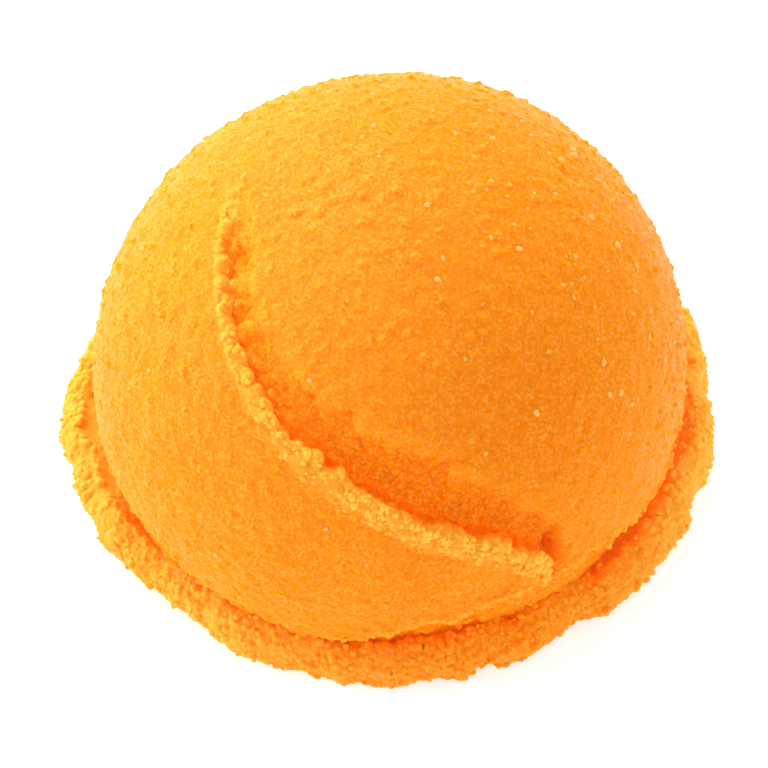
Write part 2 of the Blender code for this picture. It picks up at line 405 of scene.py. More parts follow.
def run_tree(item, tree, values):
    """Puts a Geometry Nodes tree on an object, with its inputs set by their identifiers."""
    modifier = item.modifiers.new(tree.name, "NODES")
    modifier.node_group = tree
    for socket in tree.interface.items_tree:
        if socket.item_type == "SOCKET" and socket.in_out == "INPUT" and socket.name in values:
            modifier[socket.identifier] = values[socket.name]
    return modifier


def settle(item):
    """Turns an object's evaluated shape into its plain mesh, and drops its modifiers."""
    graph = bpy.context.evaluated_depsgraph_get()
    shaped = item.evaluated_get(graph)
    mesh = bpy.data.meshes.new_from_object(shaped, preserve_all_data_layers=True, depsgraph=graph)
    old = item.data
    item.modifiers.clear()
    item.data = mesh
    bpy.data.meshes.remove(old)
    return item


def mesh_points(mesh):
    """All points of a mesh, as rows of x, y and z."""
    flat = np.zeros(len(mesh.vertices) * 3)
    mesh.vertices.foreach_get("co", flat)
    return flat.reshape(-1, 3)


def set_points(mesh, points):
    """Moves all points of a mesh to the given rows."""
    mesh.vertices.foreach_set("co", points.reshape(-1))
    mesh.update()


def set_attribute(mesh, name, values):
    """Writes one number for each point of a mesh, under a name that nodes can read."""
    attribute = mesh.attributes.get(name) or mesh.attributes.new(name, "FLOAT", "POINT")
    attribute.data.foreach_set("value", np.ascontiguousarray(values, np.float32))


def rest_on_floor(item):
    """Presses flat what would reach through the floor."""
    points = mesh_points(item.data)
    points[:, 2] = np.maximum(points[:, 2], 0.0)
    set_points(item.data, points)


def triangle_count(mesh):
    """How many triangles the faces of a mesh make."""
    sides = np.zeros(len(mesh.polygons), np.int32)
    mesh.polygons.foreach_get("loop_total", sides)
    return int((sides - 2).sum())


# ---- The form of ball, fold and skirt --------------------------------------------------------

def lip_frame():
    """The lip's axis, and the two directions across it that turns are measured from."""
    axis = direction(LIP_AXIS_AZIMUTH, LIP_AXIS_LATITUDE)
    down = axis * axis[2] - np.array((0.0, 0.0, 1.0))
    down = down / np.linalg.norm(down)
    return axis, down, np.cross(axis, down)


def follow(line, place):
    """Reads a closed line of (degrees, value) pairs at places in degrees."""
    line = np.array(line)
    return np.interp(place, line[:, 0], line[:, 1], period=360.0)


def edge_latitude(azimuth):
    """Latitude of the ball's lower edge.  It rises under the tongue."""
    return follow(EDGE_LINE, azimuth) + EDGE_RAGGED * wander(azimuth, 4.0, 31)


def gap_share(azimuth):
    """1 where the gap between ball and skirt is widest, near 0 where the two touch."""
    return follow(GAP_LINE, azimuth) / GAP_MOST


def channel_share(ways, radius):
    """1 in the cleft beside the tongue's tip, 0 beyond its width."""
    top = direction(*CHANNEL_TOP)
    run = direction(*CHANNEL_FOOT) - top
    along = np.clip((ways - top) @ run / (run @ run), 0.0, 1.0)
    away = np.linalg.norm(ways - top - along[:, None] * run, axis=1) * radius
    return smooth_step(1.0 - away / CHANNEL_WIDTH)


def azimuth_latitude(ways):
    """Azimuth and latitude in degrees of unit directions."""
    azimuth = np.degrees(np.arctan2(ways[:, 1], ways[:, 0]))
    return azimuth, np.degrees(np.arcsin(np.clip(ways[:, 2], -1.0, 1.0)))


def ball_offset(ways, radius):
    """Height of the ball's skin over a true sphere, for unit directions."""
    bulge = np.clip(ways @ direction(BULGE_AZIMUTH, BULGE_LATITUDE), 0.0, 1.0) ** BULGE_SHARPNESS
    azimuth, latitude = azimuth_latitude(ways)
    under = smooth_step((edge_latitude(azimuth) - latitude) / EDGE_ROLL)
    cleft = CHANNEL_DEPTH * channel_share(ways, radius)
    return BULGE_HEIGHT * bulge - follow(GAP_LINE, azimuth) * under - cleft


def lip_angle(turn):
    """Angle in degrees between the axis and the lip at each turn."""
    return follow(LIP_LINE, turn)


def fold_strength(turn):
    """1 along the fold, and 0 on the whole ball beyond its two ends."""
    opened = smooth_step((turn - LIP_START + LIP_FADE_START) / LIP_FADE_START)
    return opened * smooth_step((LIP_END + LIP_FADE_END - turn) / LIP_FADE_END)


def hollow_size(turn, radius):
    """Depth and width of the hollow behind the lip at each turn."""
    share = np.clip((turn - LIP_START) / (LIP_END - LIP_START), 0.0, 1.0)
    along = np.radians(turn) * radius * math.sin(math.radians(LIP_HALF_ANGLE))
    pits = HOLLOW_PIT_SHARE * (1.0 - smooth_step(share / 0.45))
    depth = hump(share, HOLLOW_DEEPEST_AT, HOLLOW_DEPTH_START, HOLLOW_DEPTH_DEEPEST, HOLLOW_DEPTH_END)
    depth = depth * (1.0 + pits * wander(along, HOLLOW_PIT_LENGTH * 0.5, 5))
    depth = depth * (1.0 + 0.10 * wander(along, HOLLOW_PIT_LENGTH, 6))
    width = hump(share, HOLLOW_WIDEST_AT, HOLLOW_WIDTH_START, HOLLOW_WIDTH_WIDEST, HOLLOW_WIDTH_END)
    width = width * (1.0 + 0.16 * wander(along, HOLLOW_PIT_LENGTH, 7))
    width = width * (1.0 + 0.10 * wander(along, 0.3 * HOLLOW_PIT_LENGTH, 8))
    return depth * fold_strength(turn), width


def smooth_lines(knots, steps):
    """Points on smooth lines through rows of knots (Catmull-Rom), steps points in each span."""
    before_first = 2.0 * knots[0] - knots[1]
    after_last = 2.0 * knots[-1] - knots[-2]
    padded = np.concatenate((before_first[None], knots, after_last[None]))
    rows = []
    for index in range(len(knots) - 1):
        before, start, end, after = padded[index:index + 4]
        for step in range(steps):
            t = step / steps
            rows.append(0.5 * (2.0 * start + (end - before) * t
                               + (2.0 * before - 5.0 * start + 4.0 * end - after) * t ** 2
                               + (3.0 * (start - end) + after - before) * t ** 3))
    rows.append(knots[-1])
    return np.array(rows)


def fold_sections(turns, radius):
    """Sections across the fold: distance from the lip and height, for every turn.

    Each runs from the open ball, down into the hollow, under the lip and over it onto the leaf.
    Where there is no fold, the same points lie spread out along the ball.
    """
    strength = fold_strength(turns)
    depth, width = hollow_size(turns, radius)
    thick = depth * LIP_THICKNESS_SHARE
    under = depth * LIP_UNDERCUT_SHARE
    rise = strength * LIP_RISE
    none = np.zeros_like(turns)
    folded = np.array((
        (1.12 * width, none),
        (0.95 * width, -0.22 * depth),
        (0.80 * width, -0.66 * depth),
        (0.50 * width, -0.94 * depth),
        (0.18 * width, -1.00 * depth),
        (-0.7 * under, -1.02 * depth),
        (-under, -0.5 * (depth + thick)),
        (-0.7 * under, -1.02 * thick),
        (-0.1 * under, -0.9 * thick),
        (0.1 * under, -0.45 * thick),
        (-0.1 * under, 0.2 * rise),
        (-0.45 * depth, rise),
        (-1.2 * HOLLOW_WIDTH_WIDEST + none, none),
    ))
    start = folded[0, 0]
    end = folded[-1, 0]
    spread = np.linspace(0.0, 1.0, len(folded))[:, None]
    plain = start[None] * (1.0 - spread) + end[None] * spread
    along = np.radians(turns) * radius * math.sin(math.radians(LIP_HALF_ANGLE))
    ragged = LIP_RAGGED_HEIGHT * wander(along, LIP_RAGGED_LENGTH * 0.5, 11)
    ragged = ragged + 0.5 * LIP_RAGGED_HEIGHT * wander(along, LIP_RAGGED_LENGTH * 0.22, 12)
    near_lip = np.array((0.0, 0.1, 0.2, 0.4, 0.7, 1.0, 1.0, 1.0, 1.0, 1.0, 1.0, 0.6, 0.0))[:, None]
    folded[:, 0] = folded[:, 0] + near_lip * ragged * strength
    folded[:, 0] = plain * (1.0 - strength) + folded[:, 0] * strength
    return smooth_lines(folded, LIP_STEPS_PER_SPAN)


def lathe_faces(rings, steps):
    """Quads between rings of steps points, then fans to a first and a last pole point."""
    index = np.arange(steps)
    after = (index + 1) % steps
    quads = []
    for ring in range(rings - 1):
        low = ring * steps
        quads.append(np.column_stack((low + index, low + steps + index, low + steps + after, low + after)))
    first = rings * steps
    last = first + 1
    top = np.column_stack((np.full(steps, first), index, after))
    end = (rings - 1) * steps
    bottom = np.column_stack((np.full(steps, last), end + after, end + index))
    return np.concatenate(quads).tolist() + top.tolist() + bottom.tolist()


def make_object(name, points, faces):
    """A new mesh object in the scene."""
    mesh = bpy.data.meshes.new(name)
    mesh.from_pydata(points.tolist(), [], faces)
    item = bpy.data.objects.new(name, mesh)
    bpy.context.scene.collection.objects.link(item)
    return item


def lip_distance(ways, radius):
    """Distance from the lip towards the axis, and the turn in degrees, for unit directions."""
    axis, down, side = lip_frame()
    angle = np.degrees(np.arccos(np.clip(ways @ axis, -1.0, 1.0)))
    turn = np.degrees(np.arctan2(ways @ side, ways @ down))
    return np.radians(lip_angle(turn) - angle) * radius, turn


def ball_skin(name, radius):
    """The ball with its folded leaf, turned about the lip's axis, with its grain shares."""
    axis, down, side = lip_frame()
    turns = -180.0 + 360.0 * np.arange(TURN_STEPS) / TURN_STEPS
    fold = fold_sections(turns, radius)
    angles = np.radians(lip_angle(turns))[None] - fold[:, 0] / radius
    top = np.linspace(0.0, 1.0, CAP_STEPS_TOP + 1)[1:-1, None] * angles[0][None]
    bottom = np.linspace(0.0, 1.0, CAP_STEPS_BOTTOM + 1)[1:-1, None]
    bottom = angles[-1][None] * (1.0 - bottom) + math.pi * bottom
    heights = np.concatenate((np.zeros_like(top), fold[:, 1], np.zeros_like(bottom)))
    angles = np.concatenate((top, angles, bottom))
    out = np.outer(np.cos(np.radians(turns)), down) + np.outer(np.sin(np.radians(turns)), side)
    ways = np.cos(angles)[..., None] * axis + np.sin(angles)[..., None] * out[None]
    rings = len(angles)
    ways = np.concatenate((ways.reshape(-1, 3), (axis, -axis)))
    heights = np.concatenate((heights.reshape(-1), (0.0, 0.0)))
    reach = radius + heights + ball_offset(ways, radius)
    points = ways * reach[:, None]
    points[:, 2] = np.maximum(points[:, 2] + BALL_HEIGHT, BALL_CUT_HEIGHT)
    item = make_object(name, points, lathe_faces(rings, TURN_STEPS))
    set_attribute(item.data, "grain_share", ball_grain_share(ways, heights, radius))
    distance, turn = lip_distance(ways, radius)
    away = 1.0 - fold_strength(turn) * (np.abs(distance) < KNOB_FREE_MARGIN)
    set_attribute(item.data, "knob_share", KNOB_SHARE * away * (heights > KNOB_LOWEST))
    return item


def lip_band(ways, radius):
    """1 on the lip's broken margin, falling to 0 on the smooth leaf."""
    distance, turn = lip_distance(ways, radius)
    share = np.clip((turn - LIP_START) / (LIP_END - LIP_START), 0.0, 1.0)
    width = LIP_BAND_START + LIP_BAND_GAIN * smooth_step(share / 0.6)
    inside = smooth_step((LIP_BAND_INSIDE - distance) / 0.0005)
    return inside * smooth_step((distance + width * 1.6) / width) * fold_strength(turn)


def lip_growth(turn):
    """Share of its grains that the lip has: few where the fold starts, then more and more."""
    run = (turn - LIP_START) / (LIP_END - LIP_START)
    return LIP_GROWTH_START + (1.0 - LIP_GROWTH_START) * smooth_step(run / LIP_GROWTH_WHOLE_AT)


def edge_band(ways):
    """1 along the ball's lower edge where it stands clear of the skirt."""
    azimuth, latitude = azimuth_latitude(ways)
    off = np.abs(latitude - edge_latitude(azimuth) + 1.0) / 2.6
    return smooth_step(1.0 - off) * smooth_step(gap_share(azimuth) * 1.5 - 0.2)


def ball_grain_share(ways, heights, radius):
    """Share of points that carry a fused grain: on the lip, in the hollow, on the lower edge."""
    distance, turn = lip_distance(ways, radius)
    outer = (heights > LIP_GRAIN_LOWEST).astype(float)
    lip = lip_band(ways, radius) * outer * lip_growth(turn)
    width = hollow_size(turn, radius)[1]
    torn = smooth_step((HOLLOW_GRAINS_REACH * width - distance) / 0.0010)
    torn = torn * smooth_step(distance / 0.0008)
    torn = HOLLOW_GRAINS * torn * fold_strength(turn)
    return np.maximum(np.maximum(lip, torn), edge_band(ways))


def skirt_radius(azimuth, mean_radius):
    """Reach of the rim at azimuths in radians."""
    return mean_radius + follow(SKIRT_LINE, np.degrees(azimuth))


def skirt_skin(name, mean_radius):
    """The squeezed-out rim: a closed ring with a crest, a belly and a flat foot."""
    azimuth = 2.0 * math.pi * np.arange(SKIRT_STEPS) / SKIRT_STEPS
    around = azimuth * mean_radius - math.pi * mean_radius
    rim = skirt_radius(azimuth, mean_radius) + SKIRT_RAGGED_REACH * wander(around, 0.0016, 21)
    degrees = np.degrees(azimuth)
    crest = follow(SKIRT_CREST_LINE, degrees) + SKIRT_RAGGED_CREST * wander(around, 0.0034, 22)
    valley = crest - SKIRT_TRENCH_LEFT - (SKIRT_TRENCH_RIGHT - SKIRT_TRENCH_LEFT) * gap_share(degrees)
    for middle, width, height in SKIRT_BRIDGES:
        valley = valley + height * smooth_step(1.5 - np.abs(angle_between(degrees, middle)) / width)
    top = rim - SKIRT_CREST_WIDTH
    floor = np.zeros_like(azimuth)
    knots = np.array((
        (0.0 * rim, valley),
        (0.5 * top, valley),
        (0.75 * top, valley),
        (0.86 * top, valley),
        (0.94 * top, valley + 0.2 * (crest - valley)),
        (top - 0.0005, crest - 0.1 * (crest - valley)),
        (top, crest),
        (rim - 0.35 * SKIRT_CREST_WIDTH, crest - 0.0007),
        (rim, SKIRT_BELLY_HEIGHT + 0.35 * (crest - SKIRT_BELLY_HEIGHT)),
        (rim, SKIRT_BELLY_HEIGHT * 0.7 + floor),
        (rim - 0.7 * SKIRT_FOOT_INSET, 0.0004 + floor),
        (rim - 1.6 * SKIRT_FOOT_INSET, floor),
        (0.5 * rim, floor),
        (0.0 * rim, floor),
    ))
    share = np.array((0.0, 0.0, 0.0, 0.1, 0.3, 0.6, 1.0, 1.0, 1.0, 1.0, 0.8, 0.0, 0.0, 0.0))
    lines = smooth_lines(knots, SKIRT_SPAN_STEPS)[1:-1]
    shares = smooth_lines(np.repeat(share[:, None], SKIRT_STEPS, 1), SKIRT_SPAN_STEPS)[1:-1]
    points = np.stack((lines[:, 0] * np.cos(azimuth), lines[:, 0] * np.sin(azimuth),
                       np.maximum(lines[:, 1], 0.0)), axis=-1)
    poles = np.array(((0.0, 0.0, float(valley.mean())), (0.0, 0.0, 0.0)))
    points = np.concatenate((points.reshape(-1, 3), poles))
    item = make_object(name, points, lathe_faces(len(lines), SKIRT_STEPS))
    shares = np.concatenate((shares.reshape(-1), (0.0, 0.0)))
    set_attribute(item.data, "grain_share", np.clip(shares, 0.0, 1.0))
    return item


# ---- Geometry Nodes --------------------------------------------------------------------------

def tree_with_inputs(name, sockets):
    """A Geometry Nodes group with a geometry in and out and the named inputs."""
    tree = bpy.data.node_groups.new(name, "GeometryNodeTree")
    tree.interface.new_socket("Geometry", in_out="INPUT", socket_type="NodeSocketGeometry")
    for label, kind, default in sockets:
        socket = tree.interface.new_socket(label, in_out="INPUT", socket_type=kind)
        if default is not None:
            socket.default_value = default
    tree.interface.new_socket("Geometry", in_out="OUTPUT", socket_type="NodeSocketGeometry")
    return tree, add_node(tree, "NodeGroupInput"), add_node(tree, "NodeGroupOutput")


def grain_tree():
    """Ice grains scattered on a surface, as thick as its grain_share, clumped and half sunk."""
    tree, given, result = tree_with_inputs("Ice grains on a surface", (
        ("Share", "NodeSocketString", "grain_share"),
        ("Spacing", "NodeSocketFloat", 0.0006),
        ("Smallest", "NodeSocketFloat", 0.0005),
        ("Largest", "NodeSocketFloat", 0.0008),
        ("Sink", "NodeSocketFloat", 0.0001),
        ("Clump Size", "NodeSocketFloat", 0.002),
        ("Clump Height", "NodeSocketFloat", 0.0003),
        ("Unevenness", "NodeSocketFloat", 0.0001),
        ("Facets", "NodeSocketInt", 2),
        ("Seed", "NodeSocketInt", 1),
        ("Keep Surface", "NodeSocketBool", True),
        ("Material", "NodeSocketMaterial", None),
    ))
    share = add_node(tree, "GeometryNodeInputNamedAttribute", {"data_type": "FLOAT"},
                     {"Name": given.outputs["Share"]})
    area = math_node(tree, "MULTIPLY", given.outputs["Spacing"], given.outputs["Spacing"])
    points = add_node(tree, "GeometryNodeDistributePointsOnFaces", {"distribute_method": "POISSON"}, {
        "Mesh": given.outputs["Geometry"],
        "Distance Min": given.outputs["Spacing"],
        "Density Max": math_node(tree, "DIVIDE", 2.0, area),
        "Density Factor": share.outputs["Attribute"],
        "Seed": given.outputs["Seed"],
    })
    place = add_node(tree, "GeometryNodeInputPosition")
    clump_scale = math_node(tree, "DIVIDE", 1.0, given.outputs["Clump Size"])
    clumps = noise_node(tree, place.outputs[0], clump_scale, 1.0)
    lift = math_node(tree, "SUBTRACT", clumps.outputs[0], 0.5)
    lift = math_node(tree, "MULTIPLY", lift, given.outputs["Clump Height"])
    lift = math_node(tree, "SUBTRACT", lift, given.outputs["Sink"])
    sunk = add_node(tree, "GeometryNodeSetPosition", None, {
        "Geometry": points.outputs["Points"],
        "Offset": scale_vector(tree, points.outputs["Normal"], lift)})
    size = add_node(tree, "FunctionNodeRandomValue", {"data_type": "FLOAT"}, {
        2: given.outputs["Smallest"], 3: given.outputs["Largest"], "Seed": given.outputs["Seed"]})
    stretch = add_node(tree, "FunctionNodeRandomValue", {"data_type": "FLOAT_VECTOR"},
                       {0: (0.82, 0.82, 0.75), 1: (1.15, 1.15, 1.05)})
    scale = scale_vector(tree, stretch.outputs[0], size.outputs[1])
    spin = add_node(tree, "FunctionNodeRandomValue", {"data_type": "FLOAT_VECTOR"},
                    {0: (0.0, 0.0, 0.0), 1: (FULL_TURN, FULL_TURN, FULL_TURN)})
    bead = add_node(tree, "GeometryNodeMeshIcoSphere", None,
                    {"Radius": 0.5, "Subdivisions": given.outputs["Facets"]})
    grains = add_node(tree, "GeometryNodeInstanceOnPoints", None, {
        "Points": sunk.outputs[0], "Instance": bead.outputs["Mesh"],
        "Rotation": spin.outputs[0], "Scale": scale})
    real = add_node(tree, "GeometryNodeRealizeInstances", None, {"Geometry": grains.outputs[0]})
    bend_scale = math_node(tree, "DIVIDE", 1.6, given.outputs["Largest"])
    bend = noise_node(tree, place.outputs[0], bend_scale, 0.0)
    bend = add_node(tree, "ShaderNodeVectorMath", {"operation": "SUBTRACT"},
                    {0: bend.outputs[1], 1: (0.5, 0.5, 0.5)})
    bend = scale_vector(tree, bend.outputs[0], given.outputs["Unevenness"])
    uneven = add_node(tree, "GeometryNodeSetPosition", None,
                      {"Geometry": real.outputs[0], "Offset": bend})
    both = add_node(tree, "GeometryNodeJoinGeometry")
    tree.links.new(uneven.outputs[0], both.inputs[0])
    tree.links.new(given.outputs["Geometry"], both.inputs[0])
    chosen = add_node(tree, "GeometryNodeSwitch", {"input_type": "GEOMETRY"}, {
        "Switch": given.outputs["Keep Surface"], "False": uneven.outputs[0], "True": both.outputs[0]})
    smooth = add_node(tree, "GeometryNodeSetShadeSmooth", None, {"Geometry": chosen.outputs[0]})
    coated = add_node(tree, "GeometryNodeSetMaterial", None,
                      {"Geometry": smooth.outputs[0], "Material": given.outputs["Material"]})
    tree.links.new(coated.outputs[0], result.inputs[0])
    return tree


def shared_grain_tree():
    """The grain tree, built the first time it is asked for."""
    return bpy.data.node_groups.get("Ice grains on a surface") or grain_tree()


def relief_tree():
    """Frozen relief along the normals: lumps, rounded knobs and fine grain, scaled by rough_share."""
    tree, given, result = tree_with_inputs("Frozen relief", (
        ("Lump Size", "NodeSocketFloat", 0.009),
        ("Lump Height", "NodeSocketFloat", 0.0004),
        ("Knob Size", "NodeSocketFloat", 0.0013),
        ("Knob Height", "NodeSocketFloat", 0.00028),
        ("Grain Size", "NodeSocketFloat", 0.0006),
        ("Grain Height", "NodeSocketFloat", 0.00009),
        ("Rough Size", "NodeSocketFloat", 0.0018),
        ("Rough Height", "NodeSocketFloat", 0.0006),
        ("Bead Size", "NodeSocketFloat", 0.00080),
        ("Bead Height", "NodeSocketFloat", 0.00034),
    ))
    place = add_node(tree, "GeometryNodeInputPosition").outputs[0]
    normal = add_node(tree, "GeometryNodeInputNormal").outputs[0]

    def scale_of(label):
        return math_node(tree, "DIVIDE", 1.0, given.outputs[label])

    def noise_height(size, height, detail):
        noise = noise_node(tree, place, scale_of(size), detail)
        centred = math_node(tree, "SUBTRACT", noise.outputs[0], 0.5)
        return math_node(tree, "MULTIPLY", centred, given.outputs[height])

    def cell_distance(size, smoothness):
        cells = add_node(tree, "ShaderNodeTexVoronoi", {"feature": "SMOOTH_F1"}, {
            "Vector": place, "Scale": scale_of(size), "Smoothness": smoothness})
        return cells.outputs["Distance"]

    def knob_height(size, height):
        dome = math_node(tree, "SUBTRACT", 0.5, cell_distance(size, 0.35))
        return math_node(tree, "MULTIPLY", dome, given.outputs[height])

    def bead_height(size, height):
        away = math_node(tree, "MULTIPLY", cell_distance(size, 0.12), 1.45)
        rest = math_node(tree, "SUBTRACT", 1.0, math_node(tree, "POWER", away, 2.0), clamp=True)
        return math_node(tree, "MULTIPLY", math_node(tree, "SQRT", rest), given.outputs[height])

    rough = add_node(tree, "GeometryNodeInputNamedAttribute", {"data_type": "FLOAT"},
                     {"Name": "rough_share"}).outputs["Attribute"]
    skin = math_node(tree, "ADD", noise_height("Lump Size", "Lump Height", 1.0),
                     knob_height("Knob Size", "Knob Height"))
    skin = math_node(tree, "ADD", skin, knob_height("Grain Size", "Grain Height"))
    broken = math_node(tree, "ADD", noise_height("Rough Size", "Rough Height", 1.0),
                       bead_height("Bead Size", "Bead Height"))
    broken = math_node(tree, "MULTIPLY", broken, rough)
    offset = scale_vector(tree, normal, math_node(tree, "ADD", skin, broken))
    moved = add_node(tree, "GeometryNodeSetPosition", None,
                     {"Geometry": given.outputs["Geometry"], "Offset": offset})
    tree.links.new(moved.outputs[0], result.inputs[0])
    return tree


def fuse(item, voxel):
    """Freezes a skin and its grains into one closed body."""
    remesh = item.modifiers.new("Fuse", "REMESH")
    remesh.mode = "VOXEL"
    remesh.voxel_size = voxel
    remesh.adaptivity = 0.0
    settle(item)
    return item


def thin(item):
    """Thins a piece to at most MOST_TRIANGLES triangles."""
    count = triangle_count(item.data)
    if count > MOST_TRIANGLES:
        modifier = item.modifiers.new("Thin", "DECIMATE")
        modifier.ratio = MOST_TRIANGLES / count
        settle(item)
    item.data.shade_smooth()
    return item


# ---- Materials -------------------------------------------------------------------------------

def empty_material(name):
    """A material with no nodes yet, its tree, and the object's own coordinates in it."""
    material = bpy.data.materials.new(name)
    material.use_nodes = True
    tree = material.node_tree
    tree.nodes.clear()
    return material, tree, add_node(tree, "ShaderNodeTexCoord").outputs["Object"]


def show_shader(tree, shader):
    """Joins a shader to the material's surface."""
    output = add_node(tree, "ShaderNodeOutputMaterial")
    tree.links.new(shader.outputs[0], output.inputs[0])


def share_on_mesh(tree, name):
    """A share that was written on the mesh under this name, 0 where there is none."""
    return add_node(tree, "ShaderNodeAttribute", {"attribute_name": name}).outputs["Fac"]


def mix_colours(tree, share, first, second):
    """Adds a node that blends two colours or colour sockets, and gives the result."""
    return add_node(tree, "ShaderNodeMix", {"data_type": "RGBA"},
                    {"Factor": share, 6: first, 7: second}).outputs[2]


def sorbet_material(name, colours, pale, depth, glow=0.0):
    """Churned fruit sorbet, scooped and frozen hard.

    Orange pulp with ice grains of about 0.3 mm: light sinks in and comes back, and painted shade
    turns the hollows, the underside of the ball's edge, the trench and a patch on the front right a
    deeper orange.  Each grain on the skin shows as a paler speck, partly a painted glint, with painted
    shade in the pulp between grains; pale ice lies on broken edges, painted light makes the upper left
    and parts of the skirt's rim paler, and the frosty skin has a faint sheen where it turns away.
    pale is how much pale ice the whole piece has, depth how far red light travels in it before it
    comes out, and glow how much painted glow, as if from the sorbet beneath, comes out of a loose
    grain; crevices get a painted glow too.
    """
    material, tree, place = empty_material(name)
    grain = noise_node(tree, place, 1.0 / GRAIN_PATTERN, 1.0, 0.6).outputs[0]
    fine = noise_node(tree, place, 1.0 / FINE_PATTERN, 1.0).outputs[0]
    patches = noise_node(tree, place, 1.0 / PATCH_PATTERN, 3.0, 0.6).outputs[0]
    # Partly painted shade: the pulp between grains turns a deeper orange.
    shade_between_grains = map_range(tree, grain, 0.28, 0.50, 0.8, 0.0)
    # Painted shade written on the mesh turns hollows, the underside and the trench a deeper orange, along
    # with random patches of pulp.
    deeper = math_node(tree, "MAXIMUM", map_range(tree, patches, 0.35, 0.65, 0.0, 0.45),
                       share_on_mesh(tree, "deep_share"))
    deeper = math_node(tree, "MAXIMUM", deeper, shade_between_grains)
    flesh = mix_colours(tree, deeper, (*colours.flesh, 1.0), (*colours.deep_and_shade, 1.0))
    # A pale speck on each grain's top, partly a painted glint, and pale ice where the mesh says so, which
    # also paints light.
    frosted = math_node(tree, "MULTIPLY_ADD", share_on_mesh(tree, "frost_share"), 0.45,
                        map_range(tree, grain, 0.50, 0.76, 0.0, 0.60), clamp=True)
    frosted = math_node(tree, "ADD", frosted, pale, clamp=True)
    colour = mix_colours(tree, frosted, flesh, (*colours.frost_and_light, 1.0))
    height = math_node(tree, "MULTIPLY_ADD", grain, 2.5, fine)
    bump = add_node(tree, "ShaderNodeBump", None,
                    {"Height": height, "Strength": 0.40, "Distance": 0.00012})
    shader = add_node(tree, "ShaderNodeBsdfPrincipled", {"subsurface_method": "RANDOM_WALK"}, {
        "Base Color": colour,
        "Roughness": map_range(tree, fine, 0.3, 0.7, 0.30, 0.55),
        "IOR": ICE_IOR,
        "Specular IOR Level": map_range(tree, grain, 0.45, 0.70, 0.04, 0.40),
        "Subsurface Weight": 1.0 if depth else 0.0,
        "Subsurface Radius": (1.0, 0.60, 0.20),
        "Subsurface Scale": map_range(tree, share_on_mesh(tree, "loose_share"), 0.0, 1.0,
                                      depth, LOOSE_DEPTH_SHARE * depth),
        # Painted glow: emission in the pulp's own colour, on loose grains and in crevices, stands in for
        # light coming through the scoop.
        "Emission Color": colour,
        "Emission Strength": math_node(tree, "MULTIPLY_ADD", share_on_mesh(tree, "glow_share"),
                                       CREVICE_PAINTED_GLOW, glow),
        "Sheen Weight": 0.06,
        "Sheen Roughness": 0.30,
        "Sheen Tint": (1.0, 0.80, 0.52, 1.0),
        "Normal": bump.outputs[0],
    })
    show_shader(tree, shader)
    return material


def crystal_material(colours):
    """Clear ice that froze out of the juice.

    Small frosted lumps, their colour painted a little orange in place of the pulp's light shining through
    them, that glint.
    """
    material, tree, place = empty_material("frosted clear ice")
    cloud = noise_node(tree, place, 1.0 / GRAIN_PATTERN, 1.0).outputs[0]
    bump = add_node(tree, "ShaderNodeBump", None,
                    {"Height": cloud, "Strength": 0.4, "Distance": 0.00006})
    shader = add_node(tree, "ShaderNodeBsdfPrincipled", None, {
        "Base Color": mix_colours(tree, map_range(tree, cloud, 0.3, 0.7, 0.15, 0.75),
                                  (*colours.crystal, 1.0), (*colours.frost_and_light, 1.0)),
        "Roughness": 0.30,
        "IOR": ICE_IOR,
        "Normal": bump.outputs[0],
    })
    show_shader(tree, shader)
    return material


def floor_material():
    """Opal acrylic lit from below, as on a product table: even white, with almost no shadow."""
    material, tree, place = empty_material("lit opal acrylic")
    ripple = noise_node(tree, place, 400.0, 2.0)
    bump = add_node(tree, "ShaderNodeBump", None,
                    {"Height": ripple.outputs[0], "Strength": 0.05, "Distance": 0.0001})
    shader = add_node(tree, "ShaderNodeBsdfPrincipled", None, {
        "Base Color": (*linear("#d8d8d8"), 1.0),
        "Roughness": 0.9,
        "Specular IOR Level": 0.0,
        "Emission Color": (1.0, 1.0, 1.0, 1.0),
        "Emission Strength": 0.54,
        "Normal": bump.outputs[0],
    })
    show_shader(tree, shader)
    return material


def wear(item, material):
    """Gives a piece its one material."""
    item.data.materials.clear()
    item.data.materials.append(material)


def piece(item):
    """Hangs a finished piece on the scoop's body, so that it rides with the scoop."""
    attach(item, BODY)
    return item


def scatter(surface, name, seed, values, material):
    """Scatters loose grains or crystals over a finished surface, as a piece of its own."""
    item = bpy.data.objects.new(name, surface.data.copy())
    bpy.context.scene.collection.objects.link(item)
    values = dict(values, Seed=seed, Material=material)
    values["Keep Surface"] = False
    run_tree(item, shared_grain_tree(), values)
    settle(item)
    rest_on_floor(item)
    return piece(item)


# ---- Shares that relief and colour follow ----------------------------------------------------

def near_spot(ways, spot, spread):
    """1 at a spot given by azimuth and latitude, falling to 0 over the spread in degrees."""
    apart = np.degrees(np.arccos(np.clip(ways @ direction(*spot), -1.0, 1.0)))
    return np.exp(-(apart / spread) ** 2)


